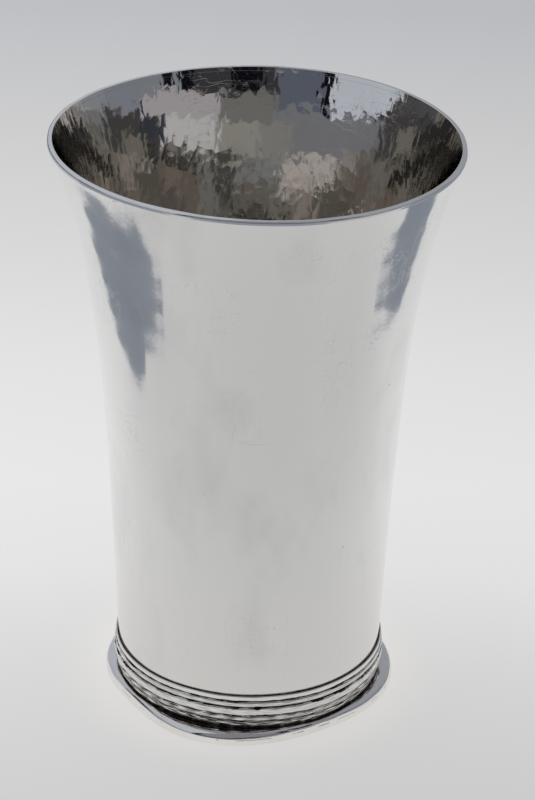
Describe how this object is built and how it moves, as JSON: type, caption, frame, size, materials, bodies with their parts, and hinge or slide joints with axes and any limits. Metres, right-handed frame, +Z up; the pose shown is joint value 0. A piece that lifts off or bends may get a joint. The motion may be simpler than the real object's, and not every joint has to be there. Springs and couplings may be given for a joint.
{
  "type": "communion cup",
  "caption": "Flared silver beaker with a rounded lip wire, a reeded foot and a worn foot ring, for drinking or passing wine at a communion table.",
  "frame": {"origin": "on the table, under the middle of the cup", "axes": "+Z up along the cup's axis, -Y towards the viewer of the picture"},
  "size_m": [0.12, 0.12, 0.178],
  "materials": {
    "hammered_silver": "polished",
    "polished_silver": "polished",
    "worn_silver": "gloss"
  },
  "bodies": {
    "root": {"beaker_wall": "hammered_silver", "lip_wire": "polished_silver", "base_plate": "hammered_silver", "reed_wire_1": "worn_silver", "reed_wire_2": "worn_silver", "reed_wire_3": "worn_silver", "reed_wire_4": "worn_silver", "reed_wire_5": "worn_silver", "foot_ring": "worn_silver"}
  },
  "joints": []
}
